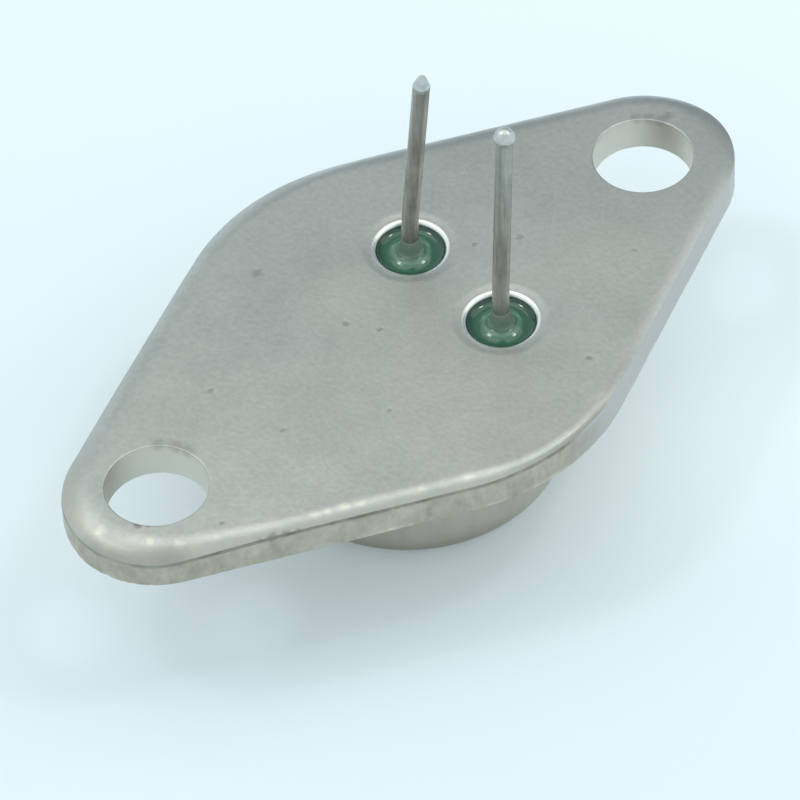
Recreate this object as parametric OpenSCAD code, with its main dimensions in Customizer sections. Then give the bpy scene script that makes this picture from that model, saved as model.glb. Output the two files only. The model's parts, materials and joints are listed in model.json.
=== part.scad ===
// Metal-can power transistor of the small diamond-flange pattern, standing on its cap with its leads up.
// Origin: centre of the cap's flat top. +Z runs along the leads, +X along the flange on the leads' side.
// Millimetres throughout.

/* [Header plate] */
// Distance between the two mounting holes, centre to centre
hole_pitch = 24.38; // [22:0.1:30]
// Diameter of each mounting hole
hole_d = 3.85; // [3:0.05:4.4]
// Width of the plate across its middle, twice the radius of its middle arcs
plate_w = 17.4; // [16.4:0.1:20]
// Radius of the two rounded ends
end_r = 3.53; // [3.2:0.01:4.4]
// Thickness of the plate
plate_t = 1.5; // [1.2:0.05:2]
// Height of the rolled-over upper edge that blanking leaves along the sides
roll_h = 0.22; // [0.1:0.02:0.34]
// Width of that rolled edge
roll_w = 0.8; // [0.4:0.1:1]
// Height of the rolled edge round the two ends, where blanking draws the sheet down furthest
end_roll_h = 0.32; // [0.2:0.02:0.5]
// Width of the rolled edge round the two ends
end_roll_w = 1.3; // [0.8:0.1:1.4]
// Distance, from the end circle's centre towards the middle, in which the rolled edge narrows
roll_blend_l = 2.5; // [1:0.1:4]
// How far the rolled edge stands back from the sheared wall below it
roll_step = 0.04; // [0.02:0.01:0.1]
// Height of the fine groove between the rolled edge and the sheared wall
groove_h = 0.08; // [0.05:0.01:0.14]
// Depth of that groove, measured from the rolled edge
groove_in = 0.1; // [0.05:0.01:0.2]

/* [Cap] */
// Height of the cap from the plate to its flat top
cap_h = 5.5; // [4.8:0.1:7]
// Outer diameter of the cap's barrel
cap_d = 12.06; // [11.9:0.02:12.7]
// Thickness of the cap's drawn sheet
cap_wall = 0.38; // [0.25:0.01:0.45]
// Outside radius between the barrel and the flat top
cap_corner_r = 1; // [0.7:0.05:1.4]
// Diameter of the flange that is welded to the plate
flange_d = 14.6; // [14:0.1:15.7]
// Inside radius of the bend between the flange and the barrel
flange_bend_r = 0.3; // [0.15:0.05:0.5]

/* [Glass seals] */
// Diameter of the glass in each seal hole
seal_d = 2.62; // [2.4:0.02:2.8]
// Radius of the rolled rim round each seal hole
seal_rim_r = 0.18; // [0.1:0.02:0.24]
// How far the glass lies below the plate's face where it meets the hole
glass_rim_drop = 0.16; // [0.1:0.02:0.24]
// How far the glass dips below its own rim, half way to the lead
glass_dip = 0.12; // [0.05:0.01:0.16]
// How far the glass climbs up the lead above its rim
glass_climb = 0.14; // [0.05:0.01:0.2]
// How far the glass stands back from the plate's inner face
glass_back = 0.1; // [0.05:0.01:0.2]

/* [Leads] */
// Distance between the two leads
lead_pitch = 5.08; // [4.8:0.02:5.3]
// Distance from the middle of the plate to the line through both leads
lead_offset = 2.54; // [2.3:0.02:2.7]
// Diameter of a lead
lead_d = 0.65; // [0.5:0.01:0.86]
// Height above the plate at which the leads begin to lean
knee_h = 1.2; // [0.6:0.1:2]
// Height of the base lead's tip above the plate
base_tip_h = 9.3; // [8:0.1:12.7]
// Lean of the base lead, in degrees from upright
base_lean = 5.3; // [0:0.1:6]
// Direction of the base lead's lean, in degrees from +X
base_lean_dir = -61; // [-180:1:180]
// Height of the emitter lead's tip above the plate
emitter_tip_h = 9.8; // [8:0.1:12.7]
// Lean of the emitter lead, in degrees from upright
emitter_lean = 2.9; // [0:0.1:6]
// Direction of the emitter lead's lean, in degrees from +X
emitter_lean_dir = 1; // [-180:1:180]
// Length of the pinched point on the base lead
pinch_h = 0.42; // [0.2:0.02:0.6]
// Diameter of the flat that is left on that point
pinch_d = 0.26; // [0.1:0.02:0.4]
// Diameter of the swollen bead on the emitter lead's end
bead_d = 0.8; // [0.7:0.02:1]
// Height of that bead
bead_h = 0.56; // [0.4:0.02:0.8]
// Diameter of the flattened head that each lead has inside the cap
head_d = 1.2; // [1:0.05:1.5]
// Thickness of that head
head_t = 0.2; // [0.15:0.01:0.3]

/* [Chip and its mounting] */
// Length of the copper heat spreader along X
spreader_l = 4.6; // [4:0.1:4.8]
// Width of the heat spreader along Y
spreader_w = 5.6; // [4.6:0.1:6]
// Thickness of the heat spreader
spreader_t = 0.8; // [0.5:0.05:1.2]
// Radius of the heat spreader's corners
spreader_corner_r = 0.5; // [0.2:0.05:1]
// Distance from the middle of the plate to the middle of the heat spreader
spreader_back = 1.9; // [1.8:0.05:2]
// Thickness of the braze under the heat spreader
braze_t = 0.05; // [0.03:0.01:0.1]
// Thickness of the solder under the chip
solder_t = 0.05; // [0.03:0.01:0.1]
// Side of the square silicon chip
chip_w = 3.4; // [2.6:0.1:3.8]
// Thickness of the chip
chip_t = 0.25; // [0.15:0.01:0.4]
// How far the solder shows round the chip
solder_margin = 0.15; // [0.05:0.01:0.3]

/* [Bond wires] */
// Diameter of the base wire
base_wire_d = 0.2; // [0.12:0.01:0.25]
// Diameter of each of the two emitter wires
emitter_wire_d = 0.25; // [0.15:0.01:0.3]
// How far each wire loops clear of the chip
wire_loop_h = 1.3; // [0.8:0.05:2]
// Distance from the chip's edge to the bonds on it
bond_inset = 0.7; // [0.5:0.05:1]
// Distance between the two emitter wires
wire_gap = 0.5; // [0.4:0.02:0.6]
// Length of the flattened foot at each end of a wire
foot_l = 0.45; // [0.35:0.01:0.5]

/* [Hidden] */
$fn = 96;

seat_z = cap_h;
face_z = cap_h + plate_t;
mid_r = plate_w / 2;
end_x = hole_pitch / 2;
// Angle from X to the line that joins a circle's centre to where the straight side leaves it
side_a = acos((mid_r - end_r) / end_x);
seal_r = seal_d / 2;
lead_r = lead_d / 2;
lead_y = lead_pitch / 2;
sheet_in = cap_wall + flange_bend_r;

spreader_z = seat_z - braze_t - spreader_t;
solder_z = spreader_z - solder_t;
chip_z = solder_z - chip_t;
// The bonds on the chip lie on its edge towards the leads
bond_x = chip_w / 2 - bond_inset - spreader_back;
bond_y = chip_w / 2 - bond_inset;

// Sides of a wire's section, and rings along its loop
WIRE_SIDES = 12;
WIRE_RINGS = 28;
// Height of a wire's flattened foot as a share of the wire's diameter
FOOT_FLAT = 0.5;
// Pieces in each curve of a glass surface
GLASS_STEPS = 10;
// Pieces in the plate's outline at each end, at each middle arc and along each straight side
END_STEPS = 24;
MID_STEPS = 16;
SIDE_STEPS = 8;
// Pieces in the section of the rolled edge
ROLL_STEPS = 6;
// More than any size here, for cutting tools
BIG = 60;

// Points on an arc about c, each with its outward direction
function bend(c, r, from_a, to_a, steps) =
    [for (i = [0:steps])
        let (a = from_a + (to_a - from_a) * i / steps, way = [cos(a), sin(a)])
        [c + r * way, way]];

// One lap round the plate's outline: its four arcs, and the straight side after each
function plate_lap() =
    let (arcs = [
        bend([end_x, 0], end_r, -side_a, side_a, END_STEPS),
        bend([0, 0], mid_r, side_a, 180 - side_a, MID_STEPS),
        bend([-end_x, 0], end_r, 180 - side_a, 180 + side_a, END_STEPS),
        bend([0, 0], mid_r, 180 + side_a, 360 - side_a, MID_STEPS)
    ])
    [for (k = [0:3])
        let (last = arcs[k][len(arcs[k]) - 1], next = arcs[(k + 1) % 4][0])
        each concat(
            arcs[k],
            [for (i = [1:SIDE_STEPS - 1]) [last[0] + (next[0] - last[0]) * i / SIDE_STEPS, last[1]]]
        )];

// How far a point of the outline belongs to an end: 0 along the sides, 1 past the end circle's centre
function end_share(p) =
    let (s = min(1, max(0, 1 + (abs(p.x) - end_x) / roll_blend_l)))
    s * s * (3 - 2 * s);

// Section of the plate's edge from the inner face up, as [inset, height] pairs
function edge_section(share) =
    let (
        h = roll_h + (end_roll_h - roll_h) * share,
        w = roll_w + (end_roll_w - roll_w) * share,
        roll_z = plate_t - h
    )
    concat(
        [[0, 0], [0, roll_z - groove_h], [roll_step + groove_in, roll_z - groove_h / 2]],
        [for (i = [0:ROLL_STEPS])
            let (a = 90 * i / ROLL_STEPS)
            [roll_step + w * (1 - cos(a)), roll_z + h * sin(a)]]
    );

// Level face over one ring of n points, in slats across it from the end at +X to the end at -X
function slats(n) =
    let (c = END_STEPS / 2)
    [for (j = [0:n / 2 - 1])
        let (
            near = j == 0 ? [c] : [c - j, c + j],
            far = j == n / 2 - 1 ? [c + j + 1] : [c + j + 1, c - j - 1]
        )
        [for (k = concat(near, far)) (k + n) % n]];

// Solid diamond plate with its inner face on z = 0
module plate_blank() {
    lap = plate_lap();
    sections = [for (spot = lap) edge_section(end_share(spot[0]))];
    n = len(lap);
    last = len(sections[0]) - 1;
    points = [for (i = [0:last], k = [0:n - 1])
        let (at = lap[k][0] - lap[k][1] * sections[k][i][0])
        [at.x, at.y, sections[k][i][1]]];
    polyhedron(
        points,
        concat(
            slats(n),
            [for (i = [0:last - 1], k = [0:n - 1])
                let (a = i * n + k, b = i * n + (k + 1) % n)
                each [[a, a + n, b + n], [a, b + n, b]]],
            [for (slat = slats(n)) [for (m = [len(slat) - 1:-1:0]) last * n + slat[m]]]
        )
    );
}

// Seal hole with its rolled rim, cut down from z = plate_t
module seal_hole() {
    rotate_extrude()
        difference() {
            translate([0, -1])
                square([seal_r + seal_rim_r, plate_t + 2]);
            translate([seal_r, -2])
                square([BIG, plate_t - seal_rim_r + 2]);
            translate([seal_r + seal_rim_r, plate_t - seal_rim_r])
                circle(seal_rim_r);
        }
}

module at_leads() {
    for (side = [-1, 1])
        translate([lead_offset, side * lead_y, 0])
            children();
}

module header_plate() {
    color([0.65, 0.68, 0.67])
        translate([0, 0, seat_z])
            difference() {
                plate_blank();
                for (side = [-1, 1])
                    translate([side * end_x, 0, -1])
                        cylinder(h = plate_t + 2, d = hole_d);
                at_leads()
                    seal_hole();
            }
}

// Solid half section of the cap with its barrel's side at radius r, its top at y = low
module cup_section(r, low, corner_r, bend_r, high) {
    difference() {
        union() {
            translate([0, low])
                square([r - corner_r, corner_r]);
            translate([r - corner_r, low + corner_r])
                intersection() {
                    circle(corner_r);
                    translate([0, -corner_r])
                        square(corner_r);
                }
            translate([0, low + corner_r])
                square([r, high - low - corner_r]);
            translate([r, high - bend_r])
                square(bend_r);
        }
        translate([r + bend_r, high - bend_r])
            circle(bend_r);
    }
}

module cap() {
    color([0.56, 0.59, 0.55])
        rotate_extrude()
            difference() {
                union() {
                    cup_section(cap_d / 2, 0, cap_corner_r, flange_bend_r, seat_z - cap_wall);
                    translate([0, seat_z - cap_wall])
                        square([flange_d / 2, cap_wall]);
                }
                cup_section(cap_d / 2 - cap_wall, cap_wall, cap_corner_r - cap_wall, sheet_in, seat_z);
            }
}

// Height of the glass between the lead (share 0) and the rim (share 1)
function glass_height(share) =
    glass_climb * (1 - share) ^ 2 - glass_dip * 4 * share * (1 - share);

module glass_seal(side) {
    top = plate_t - glass_rim_drop;
    color([0.25, 0.42, 0.35])
        translate([lead_offset, side * lead_y, seat_z])
            rotate_extrude()
                polygon(concat(
                    [[seal_r, glass_back], [lead_r, glass_back]],
                    [for (i = [0:GLASS_STEPS])
                        let (share = i / GLASS_STEPS)
                        [lead_r + share * (seal_r - lead_r), top + glass_height(share)]]
                ));
}

module base_glass_seal() {
    glass_seal(1);
}

module emitter_glass_seal() {
    glass_seal(-1);
}

// Everything on the positive side of a plane through the origin that leans by a degrees towards +X
module above(a) {
    rotate([0, a, 0])
        translate([-BIG / 2, -BIG / 2, 0])
            cube(BIG);
}

// Straight lead with its head, up to the knee, and the leaning length above it, which carries its end
module lead(side, tip_h, lean, lean_dir, end_h) {
    color([0.5, 0.52, 0.5])
        translate([lead_offset, side * lead_y, 0])
            rotate([0, 0, lean_dir]) {
                translate([0, 0, chip_z])
                    cylinder(h = head_t, d = head_d);
                difference() {
                    translate([0, 0, chip_z])
                        cylinder(h = face_z + knee_h + lead_d - chip_z, r = lead_r);
                    translate([0, 0, face_z + knee_h])
                        above(lean / 2);
                }
                translate([0, 0, face_z + knee_h]) {
                    intersection() {
                        rotate([0, lean, 0])
                            translate([0, 0, -lead_d])
                                cylinder(h = leaning_length(tip_h, lean) - end_h + lead_d, r = lead_r);
                        above(lean / 2);
                    }
                    rotate([0, lean, 0])
                        translate([0, 0, leaning_length(tip_h, lean) - end_h])
                            children();
                }
            }
}

function leaning_length(tip_h, lean) = (tip_h - knee_h) / cos(lean);

module base_lead() {
    lead(1, base_tip_h, base_lean, base_lean_dir, pinch_h)
        cylinder(h = pinch_h, r1 = lead_r, d2 = pinch_d);
}

// The bead is a swollen waist under a flattened dome
module emitter_lead() {
    neck = bead_h * 0.3;
    lead(-1, emitter_tip_h, emitter_lean, emitter_lean_dir, bead_h)
        rotate_extrude()
            polygon(concat(
                [[0, 0], [lead_r, 0]],
                [for (a = [0:15:90])
                    [bead_d / 2 * cos(a), neck + (bead_h - neck) * sin(a)]]
            ));
}

module spreader_outline(margin) {
    l = spreader_l / 2 - spreader_corner_r;
    w = spreader_w / 2 - spreader_corner_r;
    square([2 * l, spreader_w - 2 * margin], center = true);
    square([spreader_l - 2 * margin, 2 * w], center = true);
    for (x = [-l, l], y = [-w, w])
        translate([x, y])
            circle(spreader_corner_r - margin);
}

module heat_spreader() {
    color([0.72, 0.45, 0.3])
        translate([-spreader_back, 0, spreader_z])
            linear_extrude(spreader_t)
                spreader_outline(0);
}

module spreader_braze() {
    color([0.8, 0.76, 0.66])
        translate([-spreader_back, 0, seat_z - braze_t])
            linear_extrude(braze_t)
                spreader_outline(0.05);
}

module square_slab(w, t, z) {
    translate([-spreader_back - w / 2, -w / 2, z])
        cube([w, w, t]);
}

module chip_solder() {
    color([0.62, 0.63, 0.64])
        square_slab(chip_w + 2 * solder_margin, solder_t, solder_z);
}

module silicon_chip() {
    color([0.35, 0.37, 0.42])
        square_slab(chip_w, chip_t, chip_z);
}

// Round wire looped between two points on the plane z = chip_z, flattened to a foot at each end
module bond_wire(from, to, d) {
    run = norm(to - from);
    flat = cos(180 / WIRE_SIDES);
    // Share of the run that each foot takes
    foot = foot_l / run;
    function rise(s) = s < foot ? 0 : s > 1 - foot ? 0 : (1 - cos(360 * (s - foot) / (1 - 2 * foot))) / 2;
    function squash(s) = let (e = min(s, 1 - s) / foot) e < 1 ? FOOT_FLAT : min(1, FOOT_FLAT + (e - 1) * 1.5);
    rings = [for (i = [0:WIRE_RINGS])
        let (
            s = i / WIRE_RINGS,
            q = squash(s),
            slope = atan((rise(s + 0.01) - rise(s - 0.01)) * wire_loop_h / (0.02 * run)),
            x = s * run,
            z = -d / 2 * q * flat - rise(s) * wire_loop_h
        )
        [for (k = [0:WIRE_SIDES - 1])
            let (
                a = 360 * (k + 0.5) / WIRE_SIDES,
                u = d / 2 * cos(a) / sqrt(q),
                v = d / 2 * q * sin(a)
            )
            [x + v * sin(slope), u, z + v * cos(slope)]]];
    points = [for (ring = rings, p = ring) p];
    last = WIRE_RINGS * WIRE_SIDES;
    translate([from.x, from.y, chip_z])
        rotate([0, 0, atan2(to.y - from.y, to.x - from.x)])
            polyhedron(points, concat(
                [[for (k = [0:WIRE_SIDES - 1]) k]],
                [for (i = [0:WIRE_RINGS - 1], k = [0:WIRE_SIDES - 1])
                    let (a = i * WIRE_SIDES, n = (k + 1) % WIRE_SIDES)
                    [a + k, a + WIRE_SIDES + k, a + WIRE_SIDES + n, a + n]],
                [[for (k = [WIRE_SIDES - 1:-1:0]) last + k]]
            ));
}

module base_wire() {
    color([0.82, 0.83, 0.85])
        bond_wire([bond_x, bond_y], [lead_offset, lead_y], base_wire_d);
}

// The two emitter wires run side by side, half a gap to either side of the line to the lead
module emitter_wire(side) {
    shift = side * wire_gap / 2;
    color([0.82, 0.83, 0.85])
        bond_wire([bond_x, -bond_y + shift], [lead_offset, -lead_y + shift], emitter_wire_d);
}

module emitter_wire_inner() {
    emitter_wire(1);
}

module emitter_wire_outer() {
    emitter_wire(-1);
}

header_plate();
cap();
base_glass_seal();
emitter_glass_seal();
base_lead();
emitter_lead();
heat_spreader();
spreader_braze();
chip_solder();
silicon_chip();
base_wire();
emitter_wire_inner();
emitter_wire_outer();
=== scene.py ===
# %% [markdown]
# A metal-can power transistor of the small diamond-flange pattern.
# The real one is a blanked steel plate with two glass-sealed leads, and a drawn cap welded under it.
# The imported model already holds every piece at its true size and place.
# This lesson dresses it: each cell rebuilds one visible piece with finer edges, then gives it a finish.

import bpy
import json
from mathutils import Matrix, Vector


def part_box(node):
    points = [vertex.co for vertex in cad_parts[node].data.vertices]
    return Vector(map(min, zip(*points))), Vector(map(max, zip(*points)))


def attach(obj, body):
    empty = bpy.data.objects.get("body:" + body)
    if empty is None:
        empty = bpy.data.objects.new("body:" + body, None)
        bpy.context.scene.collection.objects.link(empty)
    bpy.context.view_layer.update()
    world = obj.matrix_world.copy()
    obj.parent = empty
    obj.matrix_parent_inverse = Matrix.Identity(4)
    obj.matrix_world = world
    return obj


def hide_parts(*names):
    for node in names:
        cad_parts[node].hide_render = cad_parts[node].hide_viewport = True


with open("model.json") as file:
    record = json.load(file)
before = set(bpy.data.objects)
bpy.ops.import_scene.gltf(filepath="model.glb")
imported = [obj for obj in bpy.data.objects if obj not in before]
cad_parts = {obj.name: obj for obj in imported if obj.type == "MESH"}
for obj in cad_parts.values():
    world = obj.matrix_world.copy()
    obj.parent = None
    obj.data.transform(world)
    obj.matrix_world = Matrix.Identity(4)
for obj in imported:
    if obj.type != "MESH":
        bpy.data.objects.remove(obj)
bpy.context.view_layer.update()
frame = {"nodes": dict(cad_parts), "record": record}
print("packed model:", sorted(frame["nodes"]))

# %% [markdown]
# Blender works in metres, and this part is about 31 mm long, so lengths are written as millimetres times
# MM. bmesh shapes the pieces, and the mathutils types hold places and turns.

# %% Tools and units
import json
from math import acos, atan2, ceil, copysign, cos, hypot, pi, radians, sin, tan

import bmesh
import bpy
from mathutils import Matrix, Quaternion, Vector, noise

MM = 0.001
X = Vector((1, 0, 0))
Y = Vector((0, 1, 0))
Z = Vector((0, 0, 1))
print("Blender", bpy.app.version_string)

# %% [markdown]
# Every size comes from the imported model: node boxes give heights and radii, and the record's mounts
# give the holes and the way each lead leans. Nothing is measured twice, so nothing can disagree.

# %% Sizes from the frame
mounts = {mount["name"]: mount for mount in frame["record"]["mounts"]}
plate_low, plate_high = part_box("header_plate")
cap_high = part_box("cap")[1]
plate_t = plate_high.z - plate_low.z
face_z = plate_high.z
seat_z = plate_low.z
mid_r = plate_high.y
end_x = mounts["hole_by_leads"]["pos_m"][0]
end_r = plate_high.x - end_x
hole_r = mounts["hole_by_leads"]["dims"]["r_mm"] * MM
lead_r = mounts["base_lead_end"]["dims"]["r_mm"] * MM
# Angle from X to the line that joins a circle's centre to where the straight side leaves it
side_a = acos((mid_r - end_r) / end_x)
print(f"plate {2 * plate_high.x / MM:.2f} x {2 * mid_r / MM:.2f} x {plate_t / MM:.2f} mm")


# %% Sizes of the cap and the seals
def middle(node):
    """Centre of a node's box, seen from above."""
    low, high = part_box(node)
    return Vector(((low.x + high.x) / 2, (low.y + high.y) / 2, 0))


def widest(node, below):
    """Largest distance from Z among a node's points that lie under a height."""
    points = [v.co for v in frame["nodes"][node].data.vertices if v.co.z < below]
    return max(hypot(p.x, p.y) for p in points)


barrel_r = widest("cap", cap_high.z / 2)
flange_r = cap_high.x
seal_low, seal_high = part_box("base_glass_seal")
seal_r = (seal_high.x - seal_low.x) / 2
print(f"barrel radius {barrel_r / MM:.2f}, seal radius {seal_r / MM:.2f} mm")

# %% [markdown]
# The camera looks down on the pin side from in front and to the left, through a long lens, so that
# the diamond plate stays almost free of perspective. A small roll tips the leads to the left.

# %% Camera
AIM = Vector((-2.907, -2.965, 6.976)) * MM
AZIMUTH = -39.73
ELEVATION = 48.08
ROLL = -2.72
CAMERA_DISTANCE = 227.99 * MM
LENS = 277.8


def from_angles(azimuth, elevation):
    """Unit vector towards a place round the object: azimuth 0 is in front, on -Y."""
    a, e = radians(azimuth), radians(elevation)
    return Vector((sin(a) * cos(e), -cos(a) * cos(e), sin(e)))


def put(data, name, place, turn):
    """Adds a camera or a lamp at a place, turned from looking straight down."""
    made = bpy.data.objects.new(name, data)
    bpy.context.scene.collection.objects.link(made)
    made.matrix_world = Matrix.Translation(place) @ turn.to_matrix().to_4x4()
    return made


def look(way, roll=0.0):
    """The turn that points a camera or a lamp along a direction."""
    return way.to_track_quat("-Z", "Y") @ Quaternion(Z, radians(roll))


camera_data = bpy.data.cameras.new("camera")
camera_data.lens = LENS
camera_data.clip_start = 10 * MM
towards_camera = from_angles(AZIMUTH, ELEVATION)
camera = put(camera_data, "camera", AIM + towards_camera * CAMERA_DISTANCE, look(-towards_camera, ROLL))
bpy.context.scene.camera = camera
bpy.context.scene.view_settings.view_transform = "Standard"
print(f"camera stands {CAMERA_DISTANCE / MM:.0f} mm away with a {LENS:.0f} mm lens")

# %% [markdown]
# Colours are written the way a paint program shows them, as sRGB hex codes, and one function turns them
# into the linear numbers that Blender mixes light with. A second function adds one node to a material
# or to the world, with its settings and its links, so a node tree reads from top to bottom.

# %% Colours and nodes
def linear(code):
    """Scene-linear colour from an sRGB hex code."""
    parts = [int(code[i:i + 2], 16) / 255 for i in (1, 3, 5)]
    return [p / 12.92 if p <= 0.04045 else ((p + 0.055) / 1.055) ** 2.4 for p in parts] + [1.0]


def add(tree, kind, inputs=None, **settings):
    """Adds a node. An input takes a value, another node's socket, or a node for its first output."""
    made = tree.nodes.new(kind)
    for name, value in settings.items():
        setattr(made, name, value)
    for socket, value in (inputs or {}).items():
        if isinstance(value, bpy.types.Node):
            value = value.outputs[0]
        if isinstance(value, bpy.types.NodeSocket):
            tree.links.new(value, made.inputs[socket])
        else:
            made.inputs[socket].default_value = value
    return made


print("mid grey in linear light:", round(linear("#808080")[0], 3))

# %% [markdown]
# Every material starts from nothing but its coordinates. Most finishes are a base colour under several
# coats: patches, marks and dirt, each laid on through its own mask.

# %% Materials and coats
# Sockets of a colour Mix node, which shares its names between kinds of data
FACTOR, FIRST, SECOND, MIXED = 0, 6, 7, 2


def new_material(name):
    """An empty material, its node tree, and the Object coordinates that its patterns read."""
    made = bpy.data.materials.new(name)
    made.use_nodes = True
    tree = made.node_tree
    tree.nodes.clear()
    return made, tree, add(tree, "ShaderNodeTexCoord").outputs["Object"]


def coats(tree, base, *layers):
    """Lays coats over a colour. Each is a mask, how far it covers where the mask is 1, and its colour."""
    colour = linear(base)
    for mask, cover, code in layers:
        share = add(tree, "ShaderNodeMath", {0: mask, 1: cover}, operation="MULTIPLY")
        inputs = {FACTOR: share, FIRST: colour, SECOND: linear(code)}
        colour = add(tree, "ShaderNodeMix", inputs, data_type="RGBA").outputs[MIXED]
    return colour


print("a coat mixes into output", MIXED, "of its node")

# %% [markdown]
# The floor is a sheet of matt, slightly bluish paper on a softly glowing light table, as small goods are
# often laid out. The glow fills the shadow a little, so it stays pale. A plain diffuse shader and a faint
# emission are all that needs. In two patches by the part the glow is stronger: painted light that lifts
# the shadow there. Seen from below the sheet turns clear, so the underside can be looked at.

# %% Floor
FLOOR_SIDE = 1200 * MM
PAPER = "#DBE5EC"
GLOW = "#F0FBF8"
GLOW_LEVEL = 0.13
# Painted light that lifts the shadow, as stronger glow: x, y and reach in millimetres, and the glow to add
SHADOW_LIFTING_GLOW = ((8.7, -4.9, 11, 0.12), (-10.3, 3.2, 8, 0.08))


def white_paper():
    # Matt paper on a light table: pale and even, with a soft shadow, lifted in two patches by painted light
    made, tree, place = new_material("matt white paper")
    paper = add(tree, "ShaderNodeBsdfDiffuse", {"Color": linear(PAPER)})
    level = GLOW_LEVEL
    for x, y, reach, strength in SHADOW_LIFTING_GLOW:
        spot = Vector((x * MM, y * MM, 0))
        away = add(tree, "ShaderNodeVectorMath", {0: place, 1: spot}, operation="DISTANCE")
        near = add(
            tree, "ShaderNodeMapRange",
            {"Value": away.outputs["Value"], "From Max": reach * MM, "To Min": strength, "To Max": 0.0},
            interpolation_type="SMOOTHSTEP",
        )
        level = add(tree, "ShaderNodeMath", {0: level, 1: near}, operation="ADD")
    glow = add(tree, "ShaderNodeEmission", {"Color": linear(GLOW), "Strength": level})
    lit = add(tree, "ShaderNodeAddShader", {0: paper, 1: glow})
    clear = add(tree, "ShaderNodeBsdfTransparent")
    behind = add(tree, "ShaderNodeNewGeometry").outputs["Backfacing"]
    seen = add(tree, "ShaderNodeMixShader", {0: behind, 1: lit, 2: clear})
    add(tree, "ShaderNodeOutputMaterial", {"Surface": seen})
    return made


paper = white_paper()
print(f"{paper.name}: {len(paper.node_tree.nodes)} nodes")


# %% Lay the floor
def as_object(bm, name, *materials):
    """Turns a bmesh into an object in the scene, with its materials."""
    mesh = bpy.data.meshes.new(name)
    bm.to_mesh(mesh)
    bm.free()
    for material in materials:
        mesh.materials.append(material)
    made = bpy.data.objects.new(name, mesh)
    bpy.context.scene.collection.objects.link(made)
    return made


sheet = bmesh.new()
bmesh.ops.create_grid(sheet, x_segments=1, y_segments=1, size=FLOOR_SIDE / 2)
floor = as_object(sheet, "floor", paper)
print(f"floor {FLOOR_SIDE / MM:.0f} mm square")

# %% [markdown]
# Plated metal shows what stands round it, so the light is built for what the metal should mirror. A wide
# dome lights everything evenly and fades in one patch low behind the part, which the level face mirrors
# towards the camera: that keeps the face calmer than its edges.

# %% Dome
DAYLIGHT = "#F1FCFF"
DUSK = "#E4F6FF"
BACKDROP = "#E6F8FE"
DOME_LEVEL = 0.92
FADED_LEVEL = 0.36
FADED_WAY = from_angles(AZIMUTH + 148, 31)
# Cosine of the angle from the middle of the patch at which the fade begins
FADE_FROM = 0.49


def make_dome():
    """Lights the scene from all round, and shows the camera a plain backdrop."""
    world = bpy.data.worlds.new("studio dome")
    bpy.context.scene.world = world
    world.use_nodes = True
    tree = world.node_tree
    tree.nodes.clear()
    way = add(tree, "ShaderNodeTexCoord").outputs["Generated"]
    near = add(tree, "ShaderNodeVectorMath", {0: way, 1: FADED_WAY}, operation="DOT_PRODUCT")
    faded = add(
        tree, "ShaderNodeMapRange", {"Value": near.outputs["Value"], "From Min": FADE_FROM, "From Max": 1.0},
        interpolation_type="SMOOTHSTEP",
    )
    level = add(tree, "ShaderNodeMapRange", {"Value": faded, "To Min": DOME_LEVEL, "To Max": FADED_LEVEL})
    colour = coats(tree, DAYLIGHT, (faded, 1, DUSK))
    light = add(tree, "ShaderNodeBackground", {"Color": colour, "Strength": level})
    # What the camera sees past the floor's edge is the floor's own colour
    backdrop = add(tree, "ShaderNodeBackground", {"Color": linear(BACKDROP), "Strength": 1.0})
    seen = add(tree, "ShaderNodeLightPath").outputs["Is Camera Ray"]
    mixed = add(tree, "ShaderNodeMixShader", {0: seen, 1: light, 2: backdrop})
    add(tree, "ShaderNodeOutputWorld", {"Surface": mixed})


make_dome()
print(f"dome strength {DOME_LEVEL}, {FADED_LEVEL} in the faded patch")

# %% [markdown]
# A strip light hangs just above the part, a little behind it and to the right. Only surfaces that tip a
# few degrees towards the camera mirror it, so it draws the bright line along the rolled near edge.
# Two small lamps add the pinpoints that wet-looking glass needs. A lamp's watts follow from how
# bright it should look: level times pi times its area.

# %% Lamps
STRIP_HIGH = 99 * MM
STRIP_BEHIND = 31 * MM
STRIP_RIGHT = 77 * MM
STRIP_SIZE = 268 * MM, 66 * MM
STRIP_LEVEL = 0.94
SPARK_DISTANCE = 300 * MM
SPARK_SIDE = 38 * MM
SPARK_LEVEL = 14.0
WARM_LIGHT = "#FFFCE9"
SPARK_ELEVATION = 60
SPARK_TURN = 100


def make_lamp(name, place, turn, size, level, colour):
    """Adds a rectangular lamp that the camera doesn't see."""
    data = bpy.data.lights.new(name, "AREA")
    data.shape = "RECTANGLE"
    data.size, data.size_y = size
    data.energy = level * pi * size[0] * size[1]
    data.color = linear(colour)[:3]
    put(data, name, place, turn).visible_camera = False


behind = -from_angles(AZIMUTH, 0)
rightwards = Z.cross(behind) * -1
strip_place = behind * STRIP_BEHIND + rightwards * STRIP_RIGHT + Z * STRIP_HIGH
make_lamp("strip_light", strip_place, Quaternion(Z, radians(AZIMUTH)), STRIP_SIZE, STRIP_LEVEL, WARM_LIGHT)
for name, turn in (("left_spark", -SPARK_TURN), ("right_spark", SPARK_TURN)):
    way = from_angles(AZIMUTH + turn, SPARK_ELEVATION)
    spot = Z * face_z + way * SPARK_DISTANCE
    make_lamp(name, spot, look(-way), (SPARK_SIDE, SPARK_SIDE), SPARK_LEVEL, DAYLIGHT)
print(f"strip light {STRIP_HIGH / MM:.0f} mm up, two small lamps {SPARK_DISTANCE / MM:.0f} mm away")

# %% [markdown]
# A finished bmesh becomes an object that rides on the frame's one body and stands for its CAD node.
# Two more helpers make chains of edges, and sweep() runs a chain along with bmesh's spin, which turns it
# round an axis or, with no angle, slides it straight. Edges that meet at a sharp angle are marked, so
# that smooth shading stops there.

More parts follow.
